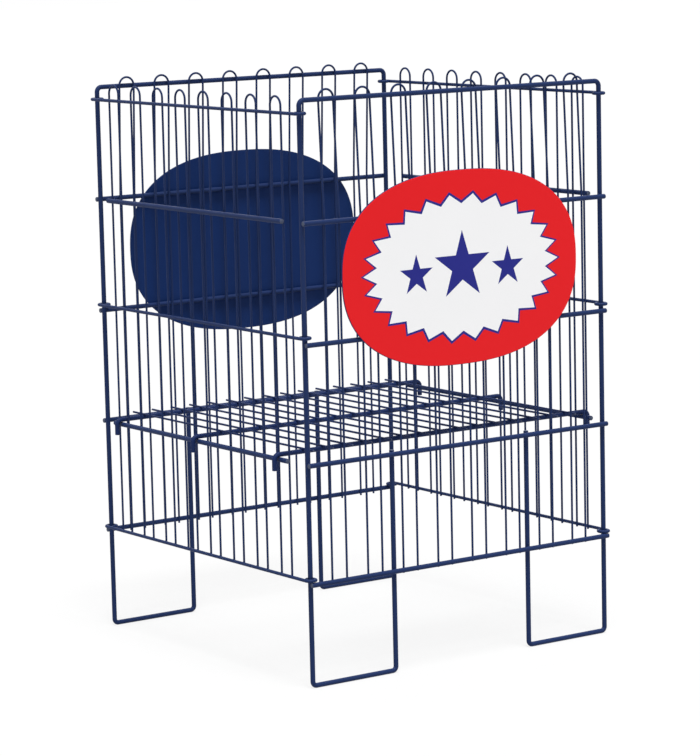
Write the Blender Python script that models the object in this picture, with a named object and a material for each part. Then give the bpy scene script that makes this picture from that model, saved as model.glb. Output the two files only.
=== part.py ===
"""Folding wire basket display table: four wire panels hinged at the corners, a wire shelf, two signs.

Frame: metres, +Z up, origin on the floor under the middle of the basket. The front panel faces -Y.
Each panel is drawn in its own coordinates, x along the panel and -y outwards, and then turned
into place.
"""

import math

import bmesh
import bpy
from mathutils import Matrix, Vector

MM = 0.001

# Clearance between pieces that touch or are welded together
GAP = 0.3 * MM

# Plan: distances between the centre lines of the corner uprights
WIDTH = 600.0 * MM
DEPTH = 600.0 * MM

# Wire diameters
FRAME_WIRE = 8.0 * MM
RAIL_WIRE = 8.0 * MM
BAR_WIRE = 8.0 * MM
ROD_WIRE = 8.0 * MM
HINGE_WIRE = 5.5 * MM
HAIRPIN_WIRE = 3.5 * MM
GRID_WIRE = 3.5 * MM

# Front and rear panels: a bent frame wire, four rails and a row of hairpins
FRAME_TOP = 929.3 * MM
CORNER_RADIUS = 8.5 * MM
FOOT_RADIUS = 7.0 * MM
INNER_LEG_RISE = 6.0 * MM
INNER_LEG_OFFSET = 3.2 * MM
RAIL_COUNT = 4
RAIL_PITCH = 190.4 * MM
RAIL_OVERHANG = 3.5 * MM

# Hairpins of the front and rear panels
FACE_HAIRPINS = 8
FACE_MARGIN = 55.0 * MM
FACE_LEG_SPACING = 28.4 * MM
FACE_LOOP_RISE = 14.6 * MM
FACE_TAIL = 2.0 * MM
SPRING_MARGIN = 6.0 * MM

# Side panels: three hinge wires with eyes, two shelf bars and a row of hairpins
EYE_RADIUS = 8.5 * MM
EYE_TURN = 290.0
MIDDLE_HINGE_RISE = 10.8 * MM
TOP_HINGE_DROP = 20.2 * MM
SHELF_BAR_RISE = 2.6 * MM
UPPER_BAR_RISE = 1.3 * MM
BAR_MARGIN = 40.0 * MM
SIDE_HAIRPINS = 8
SIDE_MARGIN = 59.55 * MM
SIDE_LEG_SPACING = 29.0 * MM
SIDE_LOOP_RISE = 25.0 * MM
SIDE_TAIL = 1.0 * MM

# Shelf: three rods hooked over the shelf bars, and cross wires welded on top of them
ROD_INSET = 3.45 * MM
HOOK_TAIL = 17.0 * MM
HOOK_SLACK = 2.0 * MM
GRID_COUNT = 15
GRID_MARGIN = 33.0 * MM
GRID_END_MARGIN = 30.0 * MM
WELD_SINK = 1.0 * MM

# Signs: an oval board welded to the rails, with a printed face
SIGN_WIDTH = 472.0 * MM
SIGN_HEIGHT = 314.0 * MM
SIGN_EXPONENT = 2.4
SIGN_DROP = 91.9 * MM
BOARD_THICKNESS = 2.0 * MM
FACE_SHEET = 0.8 * MM

# Facets and steps of the round pieces
HEAVY_SIDES = 12
HINGE_SIDES = 8
HAIRPIN_SIDES = 6
BEND_STEPS = 6
LOOP_STEPS = 8
EYE_STEPS = 14
SIGN_STEPS = 64

# Sizes that follow from the ones above
RAIL_Y = -(FRAME_WIRE / 2 + GAP + RAIL_WIRE / 2)
HAIRPIN_Y_TOP = FRAME_WIRE / 2 + GAP + HAIRPIN_WIRE / 2
HAIRPIN_Y_RAILS = RAIL_Y + RAIL_WIRE / 2 + GAP + HAIRPIN_WIRE / 2
RAIL_HEIGHTS = [FRAME_TOP - RAIL_PITCH * (RAIL_COUNT - level) for level in range(RAIL_COUNT)]
FACE_PITCH = (WIDTH - 2 * FACE_MARGIN) / (FACE_HAIRPINS - 1)
SIDE_PITCH = (DEPTH - 2 * SIDE_MARGIN) / (SIDE_HAIRPINS - 1)
GRID_PITCH = (WIDTH - 2 * GRID_MARGIN) / (GRID_COUNT - 1)
# The inner legs stand in the gap after the second hairpin from the corner
INNER_LEG_X = WIDTH / 2 - FACE_MARGIN - 1.5 * FACE_PITCH - INNER_LEG_OFFSET
HINGE_Y = -EYE_RADIUS
SIDE_HAIRPIN_Y = HINGE_Y + HINGE_WIRE / 2 + GAP + HAIRPIN_WIRE / 2
BAR_Y = SIDE_HAIRPIN_Y - HAIRPIN_WIRE / 2 - GAP - BAR_WIRE / 2
BOTTOM_HINGE_Z = RAIL_HEIGHTS[0] + RAIL_WIRE / 2 + GAP + HINGE_WIRE / 2
MIDDLE_HINGE_Z = RAIL_HEIGHTS[2] + MIDDLE_HINGE_RISE
TOP_HINGE_Z = FRAME_TOP - TOP_HINGE_DROP
BAR_X = WIDTH / 2 - BAR_Y
BAR_LENGTH = DEPTH - 2 * BAR_MARGIN
SHELF_BAR_Z = RAIL_HEIGHTS[1] + SHELF_BAR_RISE
UPPER_BAR_Z = RAIL_HEIGHTS[3] + UPPER_BAR_RISE
ROD_Y = DEPTH / 2 - SIDE_MARGIN - ROD_INSET
GRID_LENGTH = DEPTH - 2 * GRID_END_MARGIN
SIGN_Z = RAIL_HEIGHTS[-1] - SIGN_DROP
HOOK_RADIUS = BAR_WIRE / 2 + GAP + ROD_WIRE / 2

NAVY = "#232F5F"
SHELF_NAVY = "#1E2850"
SIGN_RED = "#E12228"


def linear(hex_colour):
    """Turn an sRGB hex colour into linear RGBA."""
    channels = [int(hex_colour[i:i + 2], 16) / 255 for i in (1, 3, 5)]
    return [c / 12.92 if c <= 0.04045 else ((c + 0.055) / 1.055) ** 2.4 for c in channels] + [1.0]


def make_material(name, hex_colour, roughness, metallic):
    """Make a Principled material."""
    material = bpy.data.materials.new(name)
    material.use_nodes = True
    shader = material.node_tree.nodes["Principled BSDF"]
    shader.inputs["Base Color"].default_value = linear(hex_colour)
    shader.inputs["Roughness"].default_value = roughness
    shader.inputs["Metallic"].default_value = metallic
    return material


def arc(centre_a, centre_b, radius, start, turn, steps):
    """Points of an arc in the path's own plane, from angle start through turn (degrees)."""
    angles = [math.radians(start + turn * i / steps) for i in range(steps + 1)]
    return [(centre_a + radius * math.cos(a), centre_b + radius * math.sin(a)) for a in angles]


def wire_mesh(name, path, diameter, sides, horizontal=False, shift=None):
    """Sweep a wire along a flat path, with mitred bends and flat ends.

    The path is in x and z, or in x and y if horizontal. The flats of the section stand square to
    the path's plane, diameter apart. shift(z) moves each point across a vertical path's plane.
    """
    points = [Vector((a, b, 0.0) if horizontal else (a, 0.0, b)) for a, b in path]
    across = Vector((0.0, 0.0, 1.0)) if horizontal else Vector((0.0, -1.0, 0.0))
    runs = [(q - p).normalized() for p, q in zip(points, points[1:])]
    corner = diameter / 2 / math.cos(math.pi / sides)

    mesh_builder = bmesh.new()
    rings = []
    for i, point in enumerate(points):
        before, after = runs[max(i - 1, 0)], runs[min(i, len(runs) - 1)]
        along = (before + after).normalized()
        beside = across.cross(along) / along.dot(after)
        ring = []
        for k in range(sides):
            angle = math.tau * (k + 0.5) / sides
            offset = beside * math.cos(angle) + across * math.sin(angle)
            ring.append(mesh_builder.verts.new(point + offset * corner))
        rings.append(ring)
    for ring, following in zip(rings, rings[1:]):
        for k in range(sides):
            other = (k + 1) % sides
            mesh_builder.faces.new((ring[k], ring[other], following[other], following[k]))
    mesh_builder.faces.new(rings[0])
    mesh_builder.faces.new(rings[-1])
    if shift:
        for vertex in mesh_builder.verts:
            vertex.co.y += shift(vertex.co.z)
    return finish_mesh(name, mesh_builder)


def finish_mesh(name, mesh_builder):
    """Turn the faces out, shade the round ones smooth, and write the mesh."""
    bmesh.ops.recalc_face_normals(mesh_builder, faces=mesh_builder.faces)
    mesh = bpy.data.meshes.new(name)
    mesh_builder.to_mesh(mesh)
    mesh_builder.free()
    mesh.shade_smooth()
    mesh.set_sharp_from_angle(angle=math.radians(65))
    return mesh


def extrude_outline(name, outline, start, thickness):
    """Extrude a closed outline of (x, z) points along y."""
    mesh_builder = bmesh.new()
    face = mesh_builder.faces.new([mesh_builder.verts.new((a, start, b)) for a, b in outline])
    far_side = bmesh.ops.extrude_face_region(mesh_builder, geom=[face])["geom"]
    moved = [item for item in far_side if isinstance(item, bmesh.types.BMVert)]
    bmesh.ops.translate(mesh_builder, verts=moved, vec=Vector((0.0, thickness, 0.0)))
    return finish_mesh(name, mesh_builder)


def add_empty(name, location, parent=None):
    """Add an empty that stands on a joint's axis."""
    empty = bpy.data.objects.new(name, None)
    bpy.context.scene.collection.objects.link(empty)
    place(empty, parent, location, 0.0)
    return empty


def place(item, parent, location, turn):
    """Set an object at a world location, turned about Z, under its parent."""
    item.parent = parent
    bpy.context.view_layer.update()
    origin = parent.matrix_world.translation if parent else Vector()
    item.location = Vector(location) - origin
    item.rotation_euler = (0.0, 0.0, turn)


def add_piece(name, mesh, material, parent, location, turn=0.0):
    """Add one named piece with its material."""
    piece = bpy.data.objects.new(name, mesh)
    bpy.context.scene.collection.objects.link(piece)
    if not mesh.materials:
        mesh.materials.append(material)
    place(piece, parent, location, turn)
    return piece


def frame_mesh():
    """The heavy wire: inner leg, foot, upright, top bar, and back down the other side."""
    side = WIDTH / 2
    inner = INNER_LEG_X
    floor = FRAME_WIRE / 2
    leg_top = RAIL_HEIGHTS[1] + INNER_LEG_RISE
    half = [(-inner, leg_top)]
    half += arc(-inner - FOOT_RADIUS, floor + FOOT_RADIUS, FOOT_RADIUS, 0, -90, BEND_STEPS)
    half += arc(-side + FOOT_RADIUS, floor + FOOT_RADIUS, FOOT_RADIUS, -90, -90, BEND_STEPS)
    half += arc(-side + CORNER_RADIUS, FRAME_TOP - CORNER_RADIUS, CORNER_RADIUS, 180, -90, BEND_STEPS)
    other_half = [(-a, b) for a, b in reversed(half)]
    return wire_mesh("frame_wire", half + other_half, FRAME_WIRE, HEAVY_SIDES)


def straight_mesh(name, length, diameter, sides):
    """A straight wire along x, centred."""
    return wire_mesh(name, [(-length / 2, 0.0), (length / 2, 0.0)], diameter, sides)


def hairpin_mesh(name, spacing, loop_top, foot, bends=(), shift=None):
    """A hairpin: two legs joined by a round loop at the top, with extra rings at the bends."""
    radius = spacing / 2
    leg = [(-radius, foot)] + [(-radius, height) for height in bends]
    loop = arc(0.0, loop_top - radius, radius, 180, -180, LOOP_STEPS)
    path = leg + loop + [(-a, b) for a, b in reversed(leg)]
    return wire_mesh(name, path, HAIRPIN_WIRE, HAIRPIN_SIDES, shift=shift)


def face_hairpin_mesh():
    """A front or rear hairpin: straight from behind the top bar out to the rails, and down them."""
    low = RAIL_HEIGHTS[-1] + SPRING_MARGIN
    high = FRAME_TOP - SPRING_MARGIN

    def shift(height):
        share = min(max((height - low) / (high - low), 0.0), 1.0)
        return HAIRPIN_Y_RAILS + (HAIRPIN_Y_TOP - HAIRPIN_Y_RAILS) * share

    loop_top = FRAME_TOP + FACE_LOOP_RISE
    foot = RAIL_HEIGHTS[0] - RAIL_WIRE / 2 - FACE_TAIL
    return hairpin_mesh("face_hairpin", FACE_LEG_SPACING, loop_top, foot, (low, high), shift)


def hinge_wire_mesh():
    """A side panel's hinge wire: a straight run that curls into an eye round each upright."""
    side = DEPTH / 2
    eye = arc(side, 0.0, EYE_RADIUS, -90, EYE_TURN, EYE_STEPS)
    path = [(-a, b) for a, b in reversed(eye)] + eye
    return wire_mesh("hinge_wire", path, HINGE_WIRE, HINGE_SIDES, horizontal=True)


def centred_places(count, pitch):
    """Places of a row of copies about zero."""
    return [pitch * (i - (count - 1) / 2) for i in range(count)]


def build_face_panel(side, parent, origin, turn, material, meshes):
    """Front or rear panel: frame wire, rails and hairpins."""
    outward = Matrix.Rotation(turn, 4, "Z")

    def at(x, y, z):
        return Vector(origin) + outward @ Vector((x, y, z))

    add_piece(f"{side}_frame", meshes["frame"], material, parent, at(0, 0, 0), turn)
    for level, height in enumerate(RAIL_HEIGHTS, 1):
        add_piece(f"{side}_rail_{level}", meshes["rail"], material, parent, at(0, RAIL_Y, height), turn)
    for i, x in enumerate(centred_places(FACE_HAIRPINS, FACE_PITCH), 1):
        add_piece(f"{side}_hairpin_{i}", meshes["face_hairpin"], material, parent, at(x, 0, 0), turn)


def build_side_panel(side, parent, origin, turn, material, meshes):
    """Left or right panel: hinge wires, shelf bars and hairpins."""
    outward = Matrix.Rotation(turn, 4, "Z")

    def at(x, y, z):
        return Vector(origin) + outward @ Vector((x, y, z))

    for name, height in (("bottom", BOTTOM_HINGE_Z), ("middle", MIDDLE_HINGE_Z), ("top", TOP_HINGE_Z)):
        add_piece(f"{side}_hinge_wire_{name}", meshes["hinge"], material, parent, at(0, 0, height), turn)
    for name, height in (("lower", SHELF_BAR_Z), ("upper", UPPER_BAR_Z)):
        add_piece(f"{side}_bar_{name}", meshes["bar"], material, parent, at(0, BAR_Y, height), turn)
    for i, x in enumerate(centred_places(SIDE_HAIRPINS, SIDE_PITCH), 1):
        add_piece(f"{side}_hairpin_{i}", meshes["side_hairpin"], material, parent,
                  at(x, SIDE_HAIRPIN_Y, 0), turn)


def union(target, others):
    """Weld the other objects into the target with Boolean unions, and remove them."""
    for other in others:
        weld = target.modifiers.new("weld", "BOOLEAN")
        weld.operation = "UNION"
        weld.object = other
    bpy.context.view_layer.update()
    evaluated = target.evaluated_get(bpy.context.evaluated_depsgraph_get())
    mesh = bpy.data.meshes.new_from_object(evaluated)
    target.modifiers.clear()
    target.data = mesh
    for other in others:
        bpy.data.objects.remove(other)
    mesh.shade_smooth()
    mesh.set_sharp_from_angle(angle=math.radians(40))


def build_shelf(parent, material):
    """The shelf, with its origin on the left shelf bar: hooked rods under a row of cross wires."""
    reach = 2 * BAR_X
    tail = [(-HOOK_RADIUS - HOOK_SLACK, -HOOK_TAIL)]
    left = tail + arc(-HOOK_SLACK, 0.0, HOOK_RADIUS, 180, -90, BEND_STEPS)
    right = [(reach - a, b) for a, b in reversed(left)]
    rod_mesh = wire_mesh("shelf_rod", left + right, ROD_WIRE, HEAVY_SIDES)
    rods = [add_piece("shelf", rod_mesh, material, parent, (-BAR_X, 0.0, SHELF_BAR_Z))]
    for y in (-ROD_Y, ROD_Y):
        rods.append(add_piece("rod", rod_mesh, material, parent, (-BAR_X, y, SHELF_BAR_Z)))

    grid_z = SHELF_BAR_Z + HOOK_RADIUS + ROD_WIRE / 2 + GRID_WIRE / 2 - WELD_SINK
    grid_mesh = straight_mesh("grid_wire", GRID_LENGTH, GRID_WIRE, HAIRPIN_SIDES)
    grid = []
    for x in centred_places(GRID_COUNT, GRID_PITCH):
        grid.append(add_piece("grid_wire", grid_mesh, material, parent, (x, 0.0, grid_z), math.pi / 2))
    union(rods[0], rods[1:] + grid)


def oval_outline():
    """The signs' plain oval: a superellipse."""
    power = 2 / SIGN_EXPONENT
    points = []
    for i in range(SIGN_STEPS):
        angle = math.tau * i / SIGN_STEPS
        a = abs(math.cos(angle)) ** power * math.copysign(SIGN_WIDTH / 2, math.cos(angle))
        b = abs(math.sin(angle)) ** power * math.copysign(SIGN_HEIGHT / 2, math.sin(angle))
        points.append((a, b))
    return points


def build_sign(side, parent, origin, turn, board_material, face_material):
    """A board against the rails' outer side, with its printed face."""
    board_back = RAIL_Y - RAIL_WIRE / 2 - GAP
    face_back = board_back - BOARD_THICKNESS - GAP
    outline = oval_outline()
    board = extrude_outline(f"{side}_sign_board", outline, board_back, -BOARD_THICKNESS)
    face = extrude_outline(f"{side}_sign_face", outline, face_back, -FACE_SHEET)
    centre = Vector(origin) + Vector((0.0, 0.0, SIGN_Z))
    add_piece(f"{side}_sign_board", board, board_material, parent, centre, turn)
    add_piece(f"{side}_sign_face", face, face_material, parent, centre, turn)


def main():
    for item in list(bpy.data.objects):
        bpy.data.objects.remove(item)

    wire = make_material("navy_powder_coat", NAVY, 0.42, 0.0)
    shelf_coat = make_material("shelf_powder_coat", SHELF_NAVY, 0.42, 0.0)
    board_coat = make_material("board_navy", NAVY, 0.5, 0.0)
    print_red = make_material("printed_red", SIGN_RED, 0.4, 0.0)

    rail_length = WIDTH + 2 * RAIL_OVERHANG
    side_foot = BOTTOM_HINGE_Z - HINGE_WIRE / 2 - SIDE_TAIL
    meshes = {
        "frame": frame_mesh(),
        "rail": straight_mesh("rail", rail_length, RAIL_WIRE, HEAVY_SIDES),
        "bar": straight_mesh("shelf_bar", BAR_LENGTH, BAR_WIRE, HEAVY_SIDES),
        "hinge": hinge_wire_mesh(),
        "face_hairpin": face_hairpin_mesh(),
        "side_hairpin": hairpin_mesh("side_hairpin", SIDE_LEG_SPACING, TOP_HINGE_Z + SIDE_LOOP_RISE,
                                     side_foot),
    }

    # The empties stand on the corner uprights, which are the hinge axes
    front = add_empty("front_panel", (0.0, -DEPTH / 2, 0.0))
    left = add_empty("left_panel", (-WIDTH / 2, -DEPTH / 2, 0.0), front)
    right = add_empty("right_panel", (WIDTH / 2, -DEPTH / 2, 0.0), front)
    rear = add_empty("rear_panel", (-WIDTH / 2, DEPTH / 2, 0.0), left)

    face_origins = {"front": (0.0, -DEPTH / 2, 0.0), "rear": (0.0, DEPTH / 2, 0.0)}
    build_face_panel("front", front, face_origins["front"], 0.0, wire, meshes)
    build_face_panel("rear", rear, face_origins["rear"], math.pi, wire, meshes)
    build_side_panel("left", left, (-WIDTH / 2, 0.0, 0.0), -math.pi / 2, wire, meshes)
    build_side_panel("right", right, (WIDTH / 2, 0.0, 0.0), math.pi / 2, wire, meshes)
    build_shelf(left, shelf_coat)
    build_sign("front", front, face_origins["front"], 0.0, board_coat, print_red)
    build_sign("rear", rear, face_origins["rear"], math.pi, board_coat, print_red)


main()
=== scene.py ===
"""Looks of the folding wire basket display table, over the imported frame.

Every wire is drawn round, with true bends and rounded ends, and welded where it crosses another.
The signs get rounded edges and a generic print. All lengths are in millimetres until a mesh is
written, and the meshes are in metres, +Z up, with the origin on the floor under the basket.
"""

import logging
import math
from abc import ABC, abstractmethod
from dataclasses import dataclass, field
from enum import Enum

import bpy
from mathutils import Matrix, Vector


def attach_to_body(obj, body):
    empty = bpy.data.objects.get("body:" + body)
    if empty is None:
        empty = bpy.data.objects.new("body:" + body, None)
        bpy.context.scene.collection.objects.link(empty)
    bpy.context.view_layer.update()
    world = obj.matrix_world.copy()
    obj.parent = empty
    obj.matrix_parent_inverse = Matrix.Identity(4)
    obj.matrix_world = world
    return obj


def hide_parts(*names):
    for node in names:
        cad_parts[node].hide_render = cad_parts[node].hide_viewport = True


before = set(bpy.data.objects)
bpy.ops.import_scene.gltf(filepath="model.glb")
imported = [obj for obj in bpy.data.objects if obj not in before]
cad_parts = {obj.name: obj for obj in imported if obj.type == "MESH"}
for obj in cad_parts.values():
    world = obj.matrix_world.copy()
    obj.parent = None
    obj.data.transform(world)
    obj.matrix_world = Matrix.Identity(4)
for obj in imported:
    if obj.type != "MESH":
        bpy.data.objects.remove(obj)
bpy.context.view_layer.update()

MM = 0.001
# The floor's side in metres
BACKDROP_SIZE = 60.0
PURE_WHITE = (1.0, 1.0, 1.0, 1.0)
# A Mix node's two colour inputs and its colour output
MIX_FIRST, MIX_SECOND, MIX_RESULT = 6, 7, 2
# Both the powder coat and the PVC sheet bend light this much
PLASTIC_IOR = 1.5
# Where the middle loop of a rounded edge lies, as a share of the edge's radius
ROUND_SHARE = 0.3

log = logging.getLogger("basket")


class Slot(Enum):
    """The record's material slots."""

    WIRE = "wire_coat"
    SHELF = "shelf_coat"
    BOARD = "sign_board"
    PRINT = "printed_face"


class Gauge(Enum):
    """The wires' diameters in mm, with how many sides each is drawn with."""

    HEAVY = (8.0, 24)
    HINGE = (5.5, 20)
    LIGHT = (3.5, 16)

    @property
    def radius(self) -> float:
        """Half the wire's diameter."""
        return self.value[0] / 2

    @property
    def section(self) -> list[tuple[float, float]]:
        """Points of the drawn section, a circle."""
        sides = self.value[1]
        angles = [math.tau * (k + 0.5) / sides for k in range(sides)]
        return [(self.radius * math.cos(a), self.radius * math.sin(a)) for a in angles]


class Nugget(Enum):
    """Half lengths of the welds in mm: along the thinner wire, along the other, and across both."""

    HAIRPIN_ON_RAIL = (3.0, 2.2, 1.1)
    HAIRPIN_ON_HINGE_WIRE = (2.8, 2.2, 1.1)
    RAIL_ON_UPRIGHT = (4.2, 3.4, 1.8)
    CROSS_WIRE_ON_ROD = (3.0, 2.2, 0.9)
    BOARD_ON_RAIL = (7.0, 2.2, 1.0)


class Ink(Enum):
    """The printing inks, as sRGB hex values."""

    RED = "#DB1A20"
    WHITE = "#EBEBEC"
    BLUE = "#25287E"


def linear(hex_colour: str) -> tuple[float, float, float, float]:
    """Turn an sRGB hex value into linear RGBA.

    Args:
        hex_colour: The colour, as #RRGGBB.

    Returns:
        The four channels, with alpha 1.
    """
    shares = [int(hex_colour[i:i + 2], 16) / 255 for i in (1, 3, 5)]
    red, green, blue = [s / 12.92 if s <= 0.04045 else ((s + 0.055) / 1.055) ** 2.4 for s in shares]
    return red, green, blue, 1.0


def add_node(tree: bpy.types.NodeTree, kind: str, settings: dict | None = None,
             links: dict | None = None) -> bpy.types.Node:
    """Add a node, set its properties and sockets, and link its inputs.

    Args:
        tree: The node tree that gets the node.
        kind: The node's type name.
        settings: Property names, or input names or numbers, with their values.
        links: Input names or numbers with the output sockets that feed them.

    Returns:
        The new node.
    """
    node = tree.nodes.new(kind)
    for name, value in (settings or {}).items():
        if isinstance(name, str) and hasattr(node, name):
            setattr(node, name, value)
        else:
            node.inputs[name].default_value = value
    for name, source in (links or {}).items():
        tree.links.new(source, node.inputs[name])
    return node


@dataclass(frozen=True)
class Finish(ABC):
    """A finish of the basket, built as a Principled material."""

    name: str

    def build(self) -> bpy.types.Material:
        """Build the material.

        Returns:
            A Principled material with the finish's colour, gloss and relief.
        """
        material = bpy.data.materials.new(self.name)
        material.use_nodes = True
        tree = material.node_tree
        shader = tree.nodes["Principled BSDF"]
        shader.inputs["IOR"].default_value = PLASTIC_IOR
        self.paint(tree, shader, add_node(tree, "ShaderNodeTexCoord").outputs["Object"])
        return material

    @abstractmethod
    def paint(self, tree: bpy.types.NodeTree, shader: bpy.types.Node, place: bpy.types.NodeSocket) -> None:
        """Give the shader its colour, gloss and relief.

        Args:
            tree: The material's node tree.
            shader: Its Principled shader.
            place: The piece's own coordinates.
        """


@dataclass(frozen=True)
class PowderCoat(Finish):
    """Polyester powder coat on bright steel wire, sprayed dry and baked.

    The melt levels to a satin skin with a faint orange peel. It is thinner over the cut ends and
    where pieces rub, which lets a little grey primer show through.
    """

    colour: str = "#1A2C57"
    deep_colour: str = "#17274C"
    primer_colour: str = "#596070"
    roughness: float = 0.55
    roughness_spread: float = 0.10
    cloud_mm: float = 90.0
    # Orange peel is about 1.5 mm from crest to crest
    peel_mm: float = 1.5
    peel_height_mm: float = 0.02
    # Rubbed spots are specks of about half a millimetre
    speck_mm: float = 0.5
    # The primer shows where rub and specks together pass the first value, and most from the second
    worn_from: float = 1.12
    worn_to: float = 1.25
    worn_most: float = 0.8
    sheen_level: float = 0.12

    def paint(self, tree: bpy.types.NodeTree, shader: bpy.types.Node, place: bpy.types.NodeSocket) -> None:
        """Give the coat its colour clouds, orange peel and worn ends.

        Args:
            tree: The material's node tree.
            shader: Its Principled shader.
            place: The piece's own coordinates.
        """
        clouds = add_node(tree, "ShaderNodeTexNoise", {"Scale": 1 / (self.cloud_mm * MM), "Detail": 3.0},
                          {"Vector": place}).outputs["Fac"]
        coat = add_node(tree, "ShaderNodeMix",
                        {"data_type": "RGBA", MIX_FIRST: linear(self.colour),
                         MIX_SECOND: linear(self.deep_colour)}, {"Factor": clouds})
        peel = add_node(tree, "ShaderNodeTexNoise", {"Scale": 1 / (self.peel_mm * MM), "Detail": 1.0},
                        {"Vector": place}).outputs["Fac"]
        specks = add_node(tree, "ShaderNodeTexNoise", {"Scale": 1 / (self.speck_mm * MM), "Detail": 4.0},
                          {"Vector": place}).outputs["Fac"]
        rub = add_node(tree, "ShaderNodeAttribute", {"attribute_name": "rub"}).outputs["Fac"]
        wear = add_node(tree, "ShaderNodeMath", {"operation": "ADD"}, {0: rub, 1: specks}).outputs[0]
        worn = add_node(tree, "ShaderNodeMapRange",
                        {"From Min": self.worn_from, "From Max": self.worn_to, "To Max": self.worn_most},
                        {"Value": wear}).outputs[0]
        skin = add_node(tree, "ShaderNodeMix",
                        {"data_type": "RGBA", MIX_SECOND: linear(self.primer_colour)},
                        {"Factor": worn, MIX_FIRST: coat.outputs[MIX_RESULT]})
        tree.links.new(skin.outputs[MIX_RESULT], shader.inputs["Base Color"])
        rough = add_node(tree, "ShaderNodeMapRange",
                         {"To Min": self.roughness - self.roughness_spread / 2,
                          "To Max": self.roughness + self.roughness_spread / 2},
                         {"Value": clouds}).outputs[0]
        tree.links.new(rough, shader.inputs["Roughness"])
        bump = add_node(tree, "ShaderNodeBump", {"Strength": 1.0, "Distance": self.peel_height_mm * MM},
                        {"Height": peel}).outputs[0]
        tree.links.new(bump, shader.inputs["Normal"])
        shader.inputs["Specular IOR Level"].default_value = self.sheen_level


@dataclass(frozen=True)
class PrintedSheet(Finish):
    """Screen-printed rigid PVC sheet: a flat ink film with a satin sheen and a faint grain."""

    ink: Ink
    roughness: float = 0.4
    sheen_level: float = 0.1
    # The screen leaves a grain of about 0.8 mm, drawn at 2 mm so that it shows at all
    grain_mm: float = 2.0
    grain_height_mm: float = 0.006
    # The ink film is uneven by this share, in patches of this size
    fade: float = 0.04
    fade_mm: float = 160.0

    def paint(self, tree: bpy.types.NodeTree, shader: bpy.types.Node, place: bpy.types.NodeSocket) -> None:
        """Give the sheet its ink, slightly uneven, and its grain.

        Args:
            tree: The material's node tree.
            shader: Its Principled shader.
            place: The piece's own coordinates.
        """
        drift = add_node(tree, "ShaderNodeTexNoise", {"Scale": 1 / (self.fade_mm * MM), "Detail": 2.0},
                         {"Vector": place}).outputs["Fac"]
        value = add_node(tree, "ShaderNodeMapRange", {"To Min": 1 - self.fade, "To Max": 1.0},
                         {"Value": drift}).outputs[0]
        tone = add_node(tree, "ShaderNodeHueSaturation", {"Color": linear(self.ink.value)},
                        {"Value": value})
        tree.links.new(tone.outputs["Color"], shader.inputs["Base Color"])
        grain = add_node(tree, "ShaderNodeTexNoise", {"Scale": 1 / (self.grain_mm * MM), "Detail": 2.0},
                         {"Vector": place}).outputs["Fac"]
        bump = add_node(tree, "ShaderNodeBump", {"Strength": 1.0, "Distance": self.grain_height_mm * MM},
                        {"Height": grain}).outputs[0]
        tree.links.new(bump, shader.inputs["Normal"])
        shader.inputs["Roughness"].default_value = self.roughness
        shader.inputs["Specular IOR Level"].default_value = self.sheen_level


def attach(piece: bpy.types.Object, body: str, slot: Slot, node: str = "") -> None:
    """Hang a piece on the body that it moves with, and hide the solid that it stands for.

    Args:
        piece: The piece.
        body: The body that it moves with.
        slot: Not used.
        node: The solid that it stands for, if any.
    """
    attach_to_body(piece, body)
    if node:
        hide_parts(node)
    log.info("%s rides on %s", piece.name, body)


@dataclass
class Solid:
    """A mesh in the making, in mm: corners, faces, and how much each corner is rubbed."""

    corners: list[Vector] = field(default_factory=list)
    faces: list[tuple[int, ...]] = field(default_factory=list)
    rubbed: list[float] = field(default_factory=list)

    def add_loops(self, loops: list[list[Vector]], rub: list[float] | None = None) -> None:
        """Skin a row of closed loops, and close both ends with a flat face.

        Args:
            loops: Loops of the same number of points, each turning the same way.
            rub: How much each loop is rubbed, from 0 to 1.
        """
        start, count = len(self.corners), len(loops[0])
        for i, loop in enumerate(loops):
            self.corners += loop
            self.rubbed += [rub[i] if rub else 0.0] * count
        for i in range(len(loops) - 1):
            low, high = start + i * count, start + (i + 1) * count
            for k in range(count):
                other = (k + 1) % count
                self.faces.append((low + k, low + other, high + other, high + k))
        self.faces.append(tuple(reversed(range(start, start + count))))
        last = start + (len(loops) - 1) * count
        self.faces.append(tuple(range(last, last + count)))

    def write(self, name: str, material: bpy.types.Material,
              sharp_deg: float = 50.0) -> bpy.types.Object:
        """Write the mesh, in metres, and add its object.

        Args:
            name: The piece's name.
            material: Its finish.
            sharp_deg: Edges that turn more than this stay sharp.

        Returns:
            The new object.
        """
        mesh = bpy.data.meshes.new(name)
        mesh.from_pydata([tuple(c * MM) for c in self.corners], [], self.faces)
        rub = mesh.attributes.new("rub", "FLOAT", "POINT")
        rub.data.foreach_set("value", self.rubbed)
        mesh.materials.append(material)
        mesh.shade_smooth()
        mesh.set_sharp_from_angle(angle=math.radians(sharp_deg))
        mesh.update()
        piece = bpy.data.objects.new(name, mesh)
        bpy.context.scene.collection.objects.link(piece)
        return piece


def arc(centre: tuple[float, float], radius: float, start: float, turn: float,
        steps: int) -> list[tuple[float, float]]:
    """Points of a flat arc.

    Args:
        centre: The arc's centre.
        radius: Its radius.
        start: The angle of its first point, in degrees.
        turn: How far it turns, in degrees.
        steps: Its number of chords.

    Returns:
        The points, first and last included.
    """
    angles = [math.radians(start + turn * i / steps) for i in range(steps + 1)]
    return [(centre[0] + radius * math.cos(a), centre[1] + radius * math.sin(a)) for a in angles]


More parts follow.
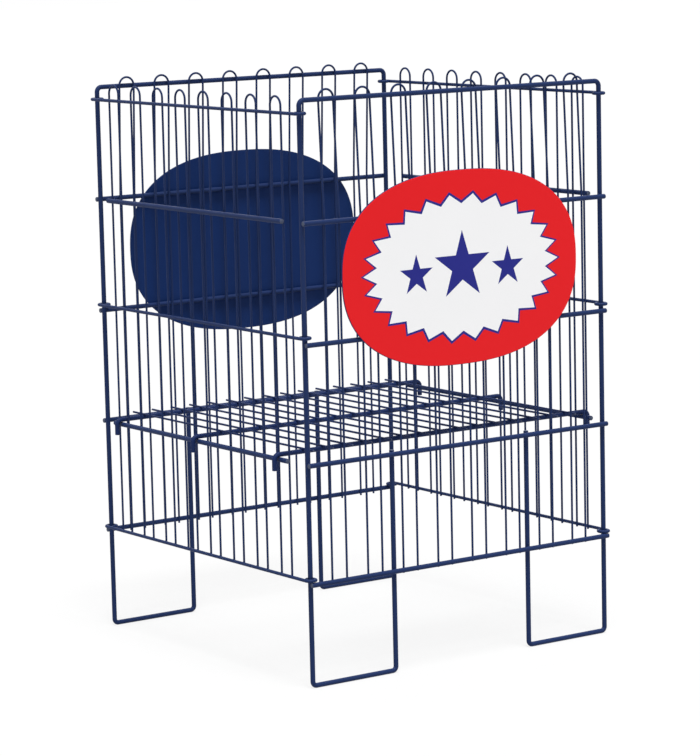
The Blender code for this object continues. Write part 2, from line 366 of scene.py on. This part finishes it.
def bent(corners: list[tuple[float, float]], radii: list[float],
         steps: int = 12) -> list[tuple[float, float]]:
    """Round a polyline's inner corners, as a wire bender does.

    Args:
        corners: The polyline.
        radii: The bend radius of the centre line at each inner corner.
        steps: Chords of each bend.

    Returns:
        The path with its corners replaced by arcs.
    """
    path = [corners[0]]
    for before, corner, after, radius in zip(corners, corners[1:], corners[2:], radii):
        into = (Vector(corner) - Vector(before)).normalized()
        out = (Vector(after) - Vector(corner)).normalized()
        turn = into.angle_signed(out)
        first = Vector(corner) - into * radius * math.tan(abs(turn) / 2)
        side = Vector((into.y, -into.x)) if turn > 0 else Vector((-into.y, into.x))
        centre = first + side * radius
        start = math.degrees(math.atan2(first.y - centre.y, first.x - centre.x))
        path += arc((centre.x, centre.y), radius, start, -math.degrees(turn), steps)
    path.append(corners[-1])
    return path


@dataclass
class Sweep:
    """A section carried along a centre line, with rounded ends."""

    path: list[Vector]
    section: list[tuple[float, float]]
    round_mm: float = 0.6
    # The coat is rubbed over this length of each end, by these shares from there to the tip
    rub_mm: float = 1.5
    rub_marks: tuple[float, ...] = (0.0, 0.55, 0.75, 0.75)
    # The least cosine of half a corner that the section is still stretched for
    mitre_limit: float = 0.2
    # Runs that turn less than this count as one straight
    straight: float = 1e-6
    # A run whose y is above this lies too near world Y to take its section from there
    near_y: float = 0.9

    def loops(self) -> tuple[list[list[Vector]], list[float]]:
        """Carry the section along the path without twisting it.

        Returns:
            The loops, and how much each is rubbed.
        """
        runs = [(q - p).normalized() for p, q in zip(self.path, self.path[1:])]
        across = self.first_across(runs[0])
        loops: list[list[Vector]] = []
        for i, point in enumerate(self.path):
            before, after = runs[max(i - 1, 0)], runs[min(i, len(runs) - 1)]
            across = before.rotation_difference(after) @ across if i else across
            along = (before + after).normalized()
            level = (across - along * across.dot(along)).normalized()
            beside = along.cross(level)
            mitre = 1 / max(along.dot(after), self.mitre_limit)
            inside = after - before
            stretch = inside.normalized() if inside.length > self.straight else None
            loop = []
            for a, b in self.section:
                offset = level * a + beside * b
                if stretch:
                    offset += stretch * offset.dot(stretch) * (mitre - 1)
                loop.append(point + offset)
            loops.append(loop)
        rubs = [0.0] * len(loops)
        self.finish_end(loops, rubs, 0)
        self.finish_end(loops, rubs, -1)
        return loops, rubs

    def first_across(self, along: Vector) -> Vector:
        """A direction square to the first run, along world Y where it can be."""
        guide = Vector((0, 1, 0)) if abs(along.y) < self.near_y else Vector((1, 0, 0))
        return (guide - along * guide.dot(along)).normalized()

    def finish_end(self, loops: list[list[Vector]], rubs: list[float], end: int) -> None:
        """Round one end: four loops in place of the last, the last of them drawn in at the tip.

        Args:
            loops: The loops so far, changed in place.
            rubs: Their rub values, changed in place.
            end: 0 for the first end, -1 for the last.
        """
        tip = self.path[end]
        inward = (self.path[1] - tip if end == 0 else self.path[-2] - tip).normalized()
        last = loops[end]
        reach = max(abs(b) for pair in self.section for b in pair)
        rounded = []
        for depth, shrink in ((self.rub_mm, 0.0), (self.round_mm, 0.0),
                              (ROUND_SHARE * self.round_mm, ROUND_SHARE), (0.0, 1.0)):
            scale = 1 - shrink * self.round_mm / reach
            rounded.append([tip + inward * depth + (p - tip) * scale for p in last])
        if end == 0:
            loops[:1] = reversed(rounded)
            rubs[:1] = reversed(self.rub_marks)
        else:
            loops[-1:] = rounded
            rubs[-1:] = self.rub_marks

    def add_to(self, solid: Solid) -> None:
        """Add the swept body to a solid."""
        loops, rubs = self.loops()
        solid.add_loops(loops, rubs)


@dataclass(frozen=True)
class Placing:
    """Where a panel stands: its origin on the floor and its turn about Z.

    A panel is drawn in its own coordinates: x along it, -y outwards, z up.
    """

    origin: tuple[float, float, float]
    turn_deg: float

    def to_world(self, x: float, y: float, z: float) -> Vector:
        """A point of the panel, in the basket's frame."""
        turn = Matrix.Rotation(math.radians(self.turn_deg), 3, "Z")
        return Vector(self.origin) + turn @ Vector((x, y, z))

    def direction(self, x: float, y: float, z: float) -> Vector:
        """A direction of the panel, in the basket's frame."""
        return self.to_world(x, y, z) - self.to_world(0, 0, 0)

    def upright(self, path: list[tuple[float, float]], y: float) -> list[Vector]:
        """A path in x and z, stood in the plane at y."""
        return [self.to_world(a, y, b) for a, b in path]


@dataclass
class Wire:
    """One wire of the basket."""

    node: str
    path: list[Vector]
    gauge: Gauge

    def dress(self, body: str, slot: Slot, material: bpy.types.Material) -> None:
        """Draw the wire round and put it in its solid's place.

        Args:
            body: The body that it moves with.
            slot: Not used.
            material: Its finish.
        """
        solid = Solid()
        Sweep(self.path, self.gauge.section).add_to(solid)
        attach(solid.write(f"{self.node}_drawn", material), body, slot, self.node)


@dataclass
class Welds:
    """Resistance welds of one body: the small swell of metal where two wires were pressed together."""

    name: str
    body: str
    rings: int = 5
    sides: int = 10
    # How far the first and last rings stand off the tips, as a share of a ring
    tip_share: float = 0.35
    solid: Solid = field(default_factory=Solid)

    def add(self, centre: Vector, along: Vector, normal: Vector, nugget: Nugget) -> None:
        """Add one weld.

        Args:
            centre: The point where the wires touch.
            along: The thinner wire's direction.
            normal: The direction from wire to wire.
            nugget: The weld's size.
        """
        other = along.cross(normal)
        size = nugget.value
        loops = []
        for i in range(self.rings + 1):
            tilt = math.pi * (i + self.tip_share) / (self.rings + 2 * self.tip_share) - math.pi / 2
            loop = []
            for k in range(self.sides):
                angle = math.tau * k / self.sides
                loop.append(centre + along * size[0] * math.cos(tilt) * math.cos(angle)
                            + other * size[1] * math.cos(tilt) * math.sin(angle)
                            - normal * size[2] * math.sin(tilt))
            loops.append(loop)
        self.solid.add_loops(loops)

    def dress(self, slot: Slot, material: bpy.types.Material) -> None:
        """Write the welds as one piece, with no sharp edge.

        Args:
            slot: Not used.
            material: Their finish.
        """
        attach(self.solid.write(self.name, material, sharp_deg=180.0), self.body, slot)


@dataclass
class Basket:
    """Sizes that the panels, the shelf and the signs share, in mm."""

    width: float = 600.0
    depth: float = 600.0
    top: float = 929.3
    rail_pitch: float = 190.4
    rail_count: int = 4
    gap: float = 0.3

    @property
    def rail_heights(self) -> list[float]:
        """Heights of the rails' centre lines, lowest first."""
        return [self.top - self.rail_pitch * (self.rail_count - i) for i in range(self.rail_count)]

    def places(self, count: int, margin: float, span: float) -> list[float]:
        """Centres of an even row across a panel.

        Args:
            count: How many there are.
            margin: From the upright's centre line to the first.
            span: The panel's width between its uprights.

        Returns:
            The places along the panel.
        """
        pitch = (span - 2 * margin) / (count - 1)
        return [margin - span / 2 + pitch * i for i in range(count)]


@dataclass
class Panel(ABC):
    """A panel of the basket: wires that are welded together and move as one body."""

    basket: Basket
    side: str
    placing: Placing

    @property
    def body(self) -> str:
        """The body that the panel moves with."""
        return f"{self.side}_panel"

    @property
    def inward(self) -> Vector:
        """The direction from the panel into the basket."""
        return self.placing.direction(0, 1, 0)

    @abstractmethod
    def wires(self) -> list[Wire]:
        """The panel's wires."""

    @abstractmethod
    def welds(self) -> Welds:
        """The welds between them."""

    def build(self, coat: bpy.types.Material) -> None:
        """Draw the whole panel.

        Args:
            coat: The wires' finish.
        """
        for wire in self.wires():
            wire.dress(self.body, Slot.WIRE, coat)
        self.welds().dress(Slot.WIRE, coat)


@dataclass
class FacePanel(Panel):
    """Front or rear panel: the heavy frame wire, four rails outside it and a row of hairpins."""

    foot_radius: float = 7.0
    corner_radius: float = 8.5
    inner_leg_rise: float = 6.0
    inner_leg_offset: float = 3.2
    rail_overhang: float = 3.5
    hairpins: int = 8
    margin: float = 55.0
    leg_spacing: float = 28.4
    loop_rise: float = 14.6
    tail: float = 2.0
    spring_margin: float = 6.0
    loop_steps: int = 20

    @property
    def rail_y(self) -> float:
        """The rails' place outside the uprights."""
        return -(2 * Gauge.HEAVY.radius + self.basket.gap)

    @property
    def hairpin_rail_y(self) -> float:
        """The hairpins' place behind the rails."""
        return self.rail_y + Gauge.HEAVY.radius + self.basket.gap + Gauge.LIGHT.radius

    @property
    def hairpin_top_y(self) -> float:
        """The hairpins' place behind the top bar."""
        return Gauge.HEAVY.radius + self.basket.gap + Gauge.LIGHT.radius

    @property
    def slope(self) -> tuple[float, float]:
        """Heights between which the hairpins run outwards, above the top rail and under the top bar."""
        return self.basket.rail_heights[-1] + self.spring_margin, self.basket.top - self.spring_margin

    @property
    def hairpin_places(self) -> list[float]:
        """The hairpins' centres."""
        return self.basket.places(self.hairpins, self.margin, self.basket.width)

    @property
    def inner_leg_x(self) -> float:
        """The inner legs' distance from the middle, in the gap after the second hairpin."""
        places = self.hairpin_places
        return -(places[1] + places[2]) / 2 - self.inner_leg_offset

    def frame_wire(self) -> Wire:
        """Inner leg, foot, upright, top bar, and back down the other side."""
        side, inner, floor = self.basket.width / 2, self.inner_leg_x, Gauge.HEAVY.radius
        leg_top = self.basket.rail_heights[1] + self.inner_leg_rise
        corners = [(-inner, leg_top), (-inner, floor), (-side, floor), (-side, self.basket.top)]
        corners += [(-a, b) for a, b in reversed(corners)]
        radii = [self.foot_radius, self.foot_radius, self.corner_radius]
        path = bent(corners, radii + radii[::-1])
        return Wire(f"{self.side}_frame", self.placing.upright(path, 0.0), Gauge.HEAVY)

    def rails(self) -> list[Wire]:
        """The four rails."""
        reach = self.basket.width / 2 + self.rail_overhang
        return [Wire(f"{self.side}_rail_{i}",
                     self.placing.upright([(-reach, z), (0.0, z), (reach, z)], self.rail_y), Gauge.HEAVY)
                for i, z in enumerate(self.basket.rail_heights, 1)]

    def hairpin_y(self, z: float) -> float:
        """How far back a hairpin stands at a height: it runs straight from the top bar to the rails."""
        low, high = self.slope
        share = min(max((z - low) / (high - low), 0.0), 1.0)
        return self.hairpin_rail_y + (self.hairpin_top_y - self.hairpin_rail_y) * share

    def hairpin(self, number: int, centre: float) -> Wire:
        """One hairpin.

        Args:
            number: Its number along the panel.
            centre: Its centre along the panel.

        Returns:
            The wire: up one leg, over the loop and down the other leg.
        """
        radius = self.leg_spacing / 2
        foot = self.basket.rail_heights[0] - Gauge.HEAVY.radius - self.tail
        low, high = self.slope
        heights = [foot, (foot + low) / 2, low, (low + high) / 2, high]
        loop_centre = (centre, self.basket.top + self.loop_rise - radius)
        leg = [(centre - radius, z) for z in heights]
        path = leg + arc(loop_centre, radius, 180, -180, self.loop_steps)
        path += [(2 * centre - a, b) for a, b in reversed(leg)]
        return Wire(f"{self.side}_hairpin_{number}",
                    [self.placing.to_world(a, self.hairpin_y(b), b) for a, b in path], Gauge.LIGHT)

    def welds(self) -> Welds:
        """Welds of every hairpin leg, and of the rails on the uprights and inner legs."""
        welds = Welds(f"{self.side}_panel_welds", self.body)
        rails = self.basket.rail_heights
        rail_face = self.rail_y + Gauge.HEAVY.radius + self.basket.gap / 2
        spots = []
        for centre in self.hairpin_places:
            for x in (centre - self.leg_spacing / 2, centre + self.leg_spacing / 2):
                spots += [(x, rail_face, z, Nugget.HAIRPIN_ON_RAIL) for z in rails]
                spots.append((x, -rail_face, self.basket.top, Nugget.HAIRPIN_ON_RAIL))
        for reach, crossed in ((self.basket.width / 2, rails), (self.inner_leg_x, rails[:2])):
            spots += [(x, rail_face, z, Nugget.RAIL_ON_UPRIGHT) for x in (-reach, reach) for z in crossed]
        for x, y, z, nugget in spots:
            welds.add(self.placing.to_world(x, y, z), Vector((0, 0, 1)), self.inward, nugget)
        return welds

    def wires(self) -> list[Wire]:
        """The frame wire, the rails and the hairpins."""
        hairpins = [self.hairpin(i, x) for i, x in enumerate(self.hairpin_places, 1)]
        return [self.frame_wire()] + self.rails() + hairpins


@dataclass
class SidePanel(Panel):
    """Left or right panel: three hinge wires with eyes, two shelf bars and a row of hairpins."""

    eye_radius: float = 8.5
    eye_turn: float = 290.0
    eye_steps: int = 36
    middle_rise: float = 10.8
    top_drop: float = 20.2
    shelf_bar_rise: float = 2.6
    upper_bar_rise: float = 1.3
    bar_margin: float = 40.0
    hairpins: int = 8
    margin: float = 59.55
    leg_spacing: float = 29.0
    loop_rise: float = 25.0
    tail: float = 1.0
    loop_steps: int = 20

    @property
    def hinge_heights(self) -> dict[str, float]:
        """Heights of the hinge wires, by name."""
        rails = self.basket.rail_heights
        return {"bottom": rails[0] + Gauge.HEAVY.radius + self.basket.gap + Gauge.HINGE.radius,
                "middle": rails[2] + self.middle_rise,
                "top": self.basket.top - self.top_drop}

    @property
    def bar_heights(self) -> dict[str, float]:
        """Heights of the shelf bars, by name."""
        rails = self.basket.rail_heights
        return {"lower": rails[1] + self.shelf_bar_rise, "upper": rails[3] + self.upper_bar_rise}

    @property
    def hairpin_y(self) -> float:
        """The hairpins' place, inside the hinge wires."""
        return -self.eye_radius + Gauge.HINGE.radius + self.basket.gap + Gauge.LIGHT.radius

    @property
    def bar_y(self) -> float:
        """The shelf bars' place, outside the hairpins."""
        return self.hairpin_y - Gauge.LIGHT.radius - self.basket.gap - Gauge.HEAVY.radius

    @property
    def hairpin_places(self) -> list[float]:
        """The hairpins' centres."""
        return self.basket.places(self.hairpins, self.margin, self.basket.depth)

    def hinge_wire(self, name: str, z: float) -> Wire:
        """A hinge wire: a straight run that curls into an eye round each upright."""
        side = self.basket.depth / 2
        eye = arc((side, 0.0), self.eye_radius, -90, self.eye_turn, self.eye_steps)
        path = [(-a, b) for a, b in reversed(eye)] + eye
        return Wire(f"{self.side}_hinge_wire_{name}",
                    [self.placing.to_world(a, b, z) for a, b in path], Gauge.HINGE)

    def bar(self, name: str, z: float) -> Wire:
        """A shelf bar."""
        reach = self.basket.depth / 2 - self.bar_margin
        return Wire(f"{self.side}_bar_{name}",
                    self.placing.upright([(-reach, z), (0.0, z), (reach, z)], self.bar_y), Gauge.HEAVY)

    def hairpin(self, number: int, centre: float) -> Wire:
        """One hairpin, straight from its ends to its loop."""
        radius = self.leg_spacing / 2
        foot = self.hinge_heights["bottom"] - Gauge.HINGE.radius - self.tail
        loop_centre = (centre, self.hinge_heights["top"] + self.loop_rise - radius)
        leg = [(centre - radius, foot), (centre - radius, (foot + loop_centre[1]) / 2)]
        path = leg + arc(loop_centre, radius, 180, -180, self.loop_steps)
        path += [(2 * centre - a, b) for a, b in reversed(leg)]
        return Wire(f"{self.side}_hairpin_{number}",
                    self.placing.upright(path, self.hairpin_y), Gauge.LIGHT)

    def welds(self) -> Welds:
        """Welds of every hairpin leg on the hinge wires and shelf bars."""
        welds = Welds(f"{self.side}_panel_welds", self.body)
        face = self.hairpin_y - Gauge.LIGHT.radius - self.basket.gap / 2
        for centre in self.hairpin_places:
            for x in (centre - self.leg_spacing / 2, centre + self.leg_spacing / 2):
                for z in (*self.hinge_heights.values(), *self.bar_heights.values()):
                    welds.add(self.placing.to_world(x, face, z), Vector((0, 0, 1)), self.inward,
                              Nugget.HAIRPIN_ON_HINGE_WIRE)
        return welds

    def wires(self) -> list[Wire]:
        """The hinge wires, the shelf bars and the hairpins."""
        wires = [self.hinge_wire(name, z) for name, z in self.hinge_heights.items()]
        wires += [self.bar(name, z) for name, z in self.bar_heights.items()]
        return wires + [self.hairpin(i, x) for i, x in enumerate(self.hairpin_places, 1)]


@dataclass
class Shelf:
    """The loose shelf: three rods hooked over the shelf bars, with cross wires welded on top."""

    basket: Basket
    panel: SidePanel
    rod_inset: float = 3.45
    hook_tail: float = 17.0
    hook_slack: float = 2.0
    wires: int = 15
    wire_margin: float = 33.0
    end_margin: float = 30.0
    weld_sink: float = 1.0

    @property
    def rod_z(self) -> float:
        """Height of the rods, lying on the shelf bars."""
        return self.panel.bar_heights["lower"] + 2 * Gauge.HEAVY.radius + self.basket.gap

    @property
    def wire_z(self) -> float:
        """Height of the cross wires."""
        return self.rod_z + Gauge.HEAVY.radius + Gauge.LIGHT.radius - self.weld_sink

    @property
    def rod_places(self) -> list[float]:
        """The rods' places in y."""
        outer = self.basket.depth / 2 - self.panel.margin - self.rod_inset
        return [-outer, 0.0, outer]

    def rod(self, y: float) -> list[Vector]:
        """A rod: straight across, with a hook bent down outside each shelf bar."""
        bend = 2 * Gauge.HEAVY.radius + self.basket.gap
        reach = self.basket.width / 2 - self.panel.bar_y + bend + self.hook_slack
        foot = self.panel.bar_heights["lower"] - self.hook_tail
        corners = [(-reach, foot), (-reach, self.rod_z), (reach, self.rod_z), (reach, foot)]
        return [Vector((a, y, b)) for a, b in bent(corners, [bend, bend])]

    def build(self, coat: bpy.types.Material) -> None:
        """Draw the shelf's wires and welds.

        Args:
            coat: The shelf's finish.
        """
        solid = Solid()
        welds = Welds("shelf_welds", "shelf")
        for y in self.rod_places:
            Sweep(self.rod(y), Gauge.HEAVY.section).add_to(solid)
        end = self.basket.depth / 2 - self.end_margin
        contact = self.rod_z + Gauge.HEAVY.radius
        for x in self.basket.places(self.wires, self.wire_margin, self.basket.width):
            line = [Vector((x, y, self.wire_z)) for y in (-end, 0.0, end)]
            Sweep(line, Gauge.LIGHT.section).add_to(solid)
            for y in self.rod_places:
                welds.add(Vector((x, y, contact)), Vector((0, 1, 0)), Vector((0, 0, 1)),
                          Nugget.CROSS_WIRE_ON_ROD)
        attach(solid.write("shelf_drawn", coat), "shelf", Slot.SHELF, "shelf")
        welds.dress(Slot.SHELF, coat)


@dataclass
class Sign:
    """An oval sign: a sheet-steel board welded to the rails, with a printed face."""

    panel: FacePanel
    width: float = 472.0
    height: float = 314.0
    exponent: float = 2.4
    drop: float = 91.9
    board_thickness: float = 2.0
    face_thickness: float = 0.8
    face_inset: float = 0.6
    edge_round: float = 0.5
    flat_inset: float = 1.5
    # Edges that turn more than this stay sharp
    sharp_deg: float = 35.0
    face_clearance: float = 0.05
    outline_steps: int = 160
    ink_step: float = 0.08
    ink_layers: int = 3
    # Room left before the uppermost film, as a share of its thickness
    ink_margin: float = 0.1
    weld_places: tuple[float, ...] = (-140.0, 0.0, 140.0)
    burst_points: int = 26
    burst_width: float = 392.0
    burst_height: float = 236.0
    burst_depth: float = 0.13
    keyline: float = 5.0
    # Each star's place across and up from the sign's centre, and its radius
    stars: tuple[tuple[float, float, float], ...] = ((-92.0, -6.0, 34.0), (0.0, 2.0, 58.0),
                                                     (92.0, -6.0, 34.0))

    @property
    def centre_z(self) -> float:
        """Height of the sign's centre."""
        return self.panel.basket.rail_heights[-1] - self.drop

    @property
    def board_back(self) -> float:
        """The board's back, just outside the rails."""
        return self.panel.rail_y - Gauge.HEAVY.radius - self.panel.basket.gap

    @property
    def face_ground(self) -> float:
        """The front of the face's sheet, under the layers of ink."""
        front = self.board_back - self.board_thickness - self.panel.basket.gap - self.face_thickness
        return front + (self.ink_layers + self.ink_margin) * self.ink_step

    def oval(self, inset: float) -> list[tuple[float, float]]:
        """The sign's outline, a superellipse, drawn in by an inset."""
        power = 2 / self.exponent
        points = []
        for i in range(self.outline_steps):
            angle = math.tau * i / self.outline_steps
            a = abs(math.cos(angle)) ** power * math.copysign(self.width / 2 - inset, math.cos(angle))
            b = abs(math.sin(angle)) ** power * math.copysign(self.height / 2 - inset, math.sin(angle))
            points.append((a, b))
        return points

    def burst(self, grow: float) -> list[tuple[float, float]]:
        """A starburst: points on a wide ellipse, with notches between them."""
        points = []
        for i in range(2 * self.burst_points):
            angle = math.tau * i / (2 * self.burst_points)
            reach = 1.0 if i % 2 == 0 else 1 - self.burst_depth
            points.append(((self.burst_width / 2 * reach + grow) * math.cos(angle),
                           (self.burst_height / 2 * reach + grow) * math.sin(angle)))
        return points

    def star(self, centre: tuple[float, float], radius: float) -> list[tuple[float, float]]:
        """A five-pointed star, one point up, whose edges line up from point to point."""
        half_tip, half_notch, corners = math.radians(18), math.radians(54), 10
        inner = radius * math.sin(half_tip) / math.sin(half_notch)
        points = []
        for i in range(corners):
            angle = math.radians(90 + 360 / corners * i)
            reach = radius if i % 2 == 0 else inner
            points.append((centre[0] + reach * math.cos(angle), centre[1] + reach * math.sin(angle)))
        return points

    def place(self, outline: list[tuple[float, float]], y: float) -> list[Vector]:
        """An outline about the sign's centre, stood in the panel's plane at y."""
        return [self.panel.placing.to_world(a, y, self.centre_z + b) for a, b in outline]

    def finish(self, solid: Solid, name: str, slot: Slot, material: bpy.types.Material,
               node: str = "") -> None:
        """Write one of the sign's pieces.

        Args:
            solid: Its mesh.
            name: Its name, after the sign's side.
            slot: Not used.
            material: Its finish.
            node: The solid that it stands for, after the sign's side, if any.
        """
        side = self.panel.side
        attach(solid.write(f"{side}_sign_{name}", material, self.sharp_deg), self.panel.body, slot,
               node and f"{side}_sign_{node}")

    def plate(self, back: float, front: float, inset: float) -> Solid:
        """An oval plate with rounded edges, from its back plane to its front plane."""
        solid = Solid()
        r = min(self.edge_round, (back - front) / 2)
        middle = ROUND_SHARE * r
        steps = [(self.flat_inset, back), (r, back), (middle, back - middle), (0.0, back - r)]
        steps += [(0.0, front + r), (middle, front + middle), (r, front), (self.flat_inset, front)]
        solid.add_loops([self.place(self.oval(inset + draw), y) for draw, y in steps])
        return solid

    def print_layer(self, outline: list[tuple[float, float]], layer: int) -> Solid:
        """A film of ink of any outline, a hair proud of the layer under it."""
        solid = Solid()
        back = self.face_ground - self.ink_step * (layer - 1)
        solid.add_loops([self.place(outline, back), self.place(outline, back - self.ink_step)])
        return solid

    def welds(self) -> Welds:
        """Short welds between the board and the rails behind it."""
        welds = Welds(f"{self.panel.side}_sign_welds", self.panel.body)
        placing = self.panel.placing
        for z in self.panel.basket.rail_heights[-2:]:
            for x in self.weld_places:
                welds.add(placing.to_world(x, self.board_back, z), placing.direction(1, 0, 0),
                          self.panel.inward, Nugget.BOARD_ON_RAIL)
        return welds

    def build(self, coat: bpy.types.Material, inks: dict[Ink, bpy.types.Material]) -> None:
        """Make the sign's pieces.

        Args:
            coat: Finish of the board and its welds.
            inks: Finish of each ink.
        """
        board_front = self.board_back - self.board_thickness
        self.finish(self.plate(self.board_back, board_front, 0.0), "board_rounded", Slot.BOARD, coat,
                    "board")
        self.finish(self.plate(board_front + self.face_clearance, self.face_ground, self.face_inset),
                    "face_rounded", Slot.PRINT, inks[Ink.RED], "face")
        self.welds().dress(Slot.BOARD, coat)
        films = [("keyline", self.burst(self.keyline), 1, Ink.BLUE),
                 ("burst", self.burst(0.0), 2, Ink.WHITE)]
        films += [(f"star_{i}", self.star((x, z), radius), 3, Ink.BLUE)
                  for i, (x, z, radius) in enumerate(self.stars, 1)]
        for name, outline, layer, ink in films:
            self.finish(self.print_layer(outline, layer), name, Slot.PRINT, inks[ink])


def bearing(azimuth_deg: float, elevation_deg: float) -> Vector:
    """The direction to a place seen from the basket.

    Args:
        azimuth_deg: Its angle round the basket, 0 in front and 90 on the right.
        elevation_deg: Its angle above the floor.

    Returns:
        A vector of length 1.
    """
    azimuth, elevation = math.radians(azimuth_deg), math.radians(elevation_deg)
    return Vector((math.sin(azimuth) * math.cos(elevation), -math.cos(azimuth) * math.cos(elevation),
                   math.sin(elevation)))


@dataclass(frozen=True)
class Lamp:
    """A distant soft lamp: where its light comes from, how wide it is and how strong."""

    name: str
    azimuth_deg: float
    elevation_deg: float
    width_deg: float
    strength: float
    distance_m: float = 4.0

    def build(self) -> None:
        """Hang the lamp."""
        light = bpy.data.lights.new(self.name, "SUN")
        light.energy = self.strength
        light.angle = math.radians(self.width_deg)
        source = bearing(self.azimuth_deg, self.elevation_deg)
        lamp = bpy.data.objects.new(self.name, light)
        lamp.location = source * self.distance_m
        lamp.rotation_euler = source.to_track_quat("Z", "Y").to_euler()
        bpy.context.scene.collection.objects.link(lamp)


@dataclass
class Studio:
    """Plain pale floor in a white room, with a soft lamp high in front and a weak one behind."""

    floor_colour: str = "#CBCBCB"
    floor_roughness: float = 0.9
    # How much of the floor shows as pure white, which leaves its shadow faint
    floor_whitening: float = 0.8
    room_strength: float = 0.44
    key: Lamp = Lamp("key_lamp", azimuth_deg=-18.0, elevation_deg=74.0, width_deg=22.0, strength=4.0)
    fill: Lamp = Lamp("fill_lamp", azimuth_deg=160.0, elevation_deg=35.0, width_deg=50.0, strength=0.8)

    def seen_directly(self, tree: bpy.types.NodeTree) -> bpy.types.NodeSocket:
        """One where the surface is seen, also in metal or through glass, and zero where it lights."""
        rays = add_node(tree, "ShaderNodeLightPath").outputs
        mirrored = add_node(tree, "ShaderNodeMath", {"operation": "MAXIMUM"},
                            {0: rays["Is Camera Ray"], 1: rays["Is Glossy Ray"]}).outputs[0]
        return add_node(tree, "ShaderNodeMath", {"operation": "MAXIMUM"},
                        {0: mirrored, 1: rays["Is Transmission Ray"]}).outputs[0]

    def floor(self) -> None:
        """Lay the floor: near white, with the basket's soft shadow on it."""
        half = BACKDROP_SIZE / 2
        mesh = bpy.data.meshes.new("floor")
        mesh.from_pydata([(-half, -half, 0), (half, -half, 0), (half, half, 0), (-half, half, 0)], [],
                         [(0, 1, 2, 3)])
        material = bpy.data.materials.new("studio_floor")
        material.use_nodes = True
        tree = material.node_tree
        shader = tree.nodes["Principled BSDF"]
        shader.inputs["Base Color"].default_value = linear(self.floor_colour)
        shader.inputs["Roughness"].default_value = self.floor_roughness
        shader.inputs["Specular IOR Level"].default_value = 0.0
        white = add_node(tree, "ShaderNodeEmission", {"Color": PURE_WHITE, "Strength": 1.0})
        share = add_node(tree, "ShaderNodeMath", {"operation": "MULTIPLY", 1: self.floor_whitening},
                         {0: self.seen_directly(tree)})
        blend = add_node(tree, "ShaderNodeMixShader", {}, {0: share.outputs[0], 1: shader.outputs[0],
                                                           2: white.outputs[0]})
        tree.links.new(blend.outputs[0], tree.nodes["Material Output"].inputs["Surface"])
        mesh.materials.append(material)
        floor = bpy.data.objects.new("floor", mesh)
        bpy.context.scene.collection.objects.link(floor)

    def room(self) -> None:
        """Light the world evenly, and show it as white."""
        world = bpy.data.worlds.new("white_room")
        bpy.context.scene.world = world
        world.use_nodes = True
        tree = world.node_tree
        tree.nodes.clear()
        light = add_node(tree, "ShaderNodeBackground",
                         {"Color": PURE_WHITE, "Strength": self.room_strength})
        seen = add_node(tree, "ShaderNodeBackground", {"Color": PURE_WHITE, "Strength": 1.0})
        blend = add_node(tree, "ShaderNodeMixShader", {}, {0: self.seen_directly(tree),
                                                           1: light.outputs[0], 2: seen.outputs[0]})
        output = add_node(tree, "ShaderNodeOutputWorld")
        tree.links.new(blend.outputs[0], output.inputs["Surface"])

    def build(self) -> None:
        """Set up the floor, the room and the lamps."""
        self.floor()
        self.room()
        self.key.build()
        self.fill.build()
        bpy.context.scene.view_settings.view_transform = "Standard"


@dataclass(frozen=True)
class Viewpoint:
    """The photograph's camera: where it stands, where it looks and its lens."""

    azimuth_deg: float = -35.352
    elevation_deg: float = 8.394
    roll_deg: float = -1.297
    distance: float = 5501.1
    aim_height: float = 480.0
    aim_right: float = -1.65
    aim_up: float = -46.0
    lens_mm: float = 155.146
    far_m: float = 100.0

    def build(self) -> None:
        """Add the camera and make it the scene's."""
        azimuth = math.radians(self.azimuth_deg)
        back = bearing(self.azimuth_deg, self.elevation_deg)
        right = Vector((math.cos(azimuth), math.sin(azimuth), 0.0))
        up = back.cross(right)
        aim = Vector((0.0, 0.0, self.aim_height)) + right * self.aim_right + up * self.aim_up
        roll = Matrix.Rotation(math.radians(self.roll_deg), 3, back)
        camera = bpy.data.objects.new("camera", bpy.data.cameras.new("camera"))
        camera.data.lens = self.lens_mm
        camera.data.clip_end = self.far_m
        turned = Matrix((roll @ right, roll @ up, back)).transposed().to_4x4()
        camera.matrix_world = Matrix.Translation((aim + back * self.distance) * MM) @ turned
        bpy.context.scene.collection.objects.link(camera)
        bpy.context.scene.camera = camera


def main() -> None:
    """Build the basket, its shelf and signs, and the studio round them."""
    logging.basicConfig(level=logging.INFO, format="%(name)s: %(message)s")
    basket = Basket()
    coat = PowderCoat("navy_powder_coat").build()
    shelf_coat = PowderCoat("shelf_powder_coat", colour="#162854", deep_colour="#13234A").build()
    board_coat = PowderCoat("board_powder_coat", colour="#112D62", deep_colour="#0F2858").build()
    inks = {ink: PrintedSheet(f"printed_{ink.name.lower()}", ink).build() for ink in Ink}
    half_width, half_depth = basket.width / 2, basket.depth / 2
    front = FacePanel(basket, "front", Placing((0.0, -half_depth, 0.0), 0.0))
    rear = FacePanel(basket, "rear", Placing((0.0, half_depth, 0.0), 180.0))
    left = SidePanel(basket, "left", Placing((-half_width, 0.0, 0.0), -90.0))
    right = SidePanel(basket, "right", Placing((half_width, 0.0, 0.0), 90.0))
    for panel in (front, rear, left, right):
        panel.build(coat)
    Shelf(basket, left).build(shelf_coat)
    for panel in (front, rear):
        Sign(panel).build(board_coat, inks)
    Studio().build()
    Viewpoint().build()


if __name__ == "__main__":
    main()
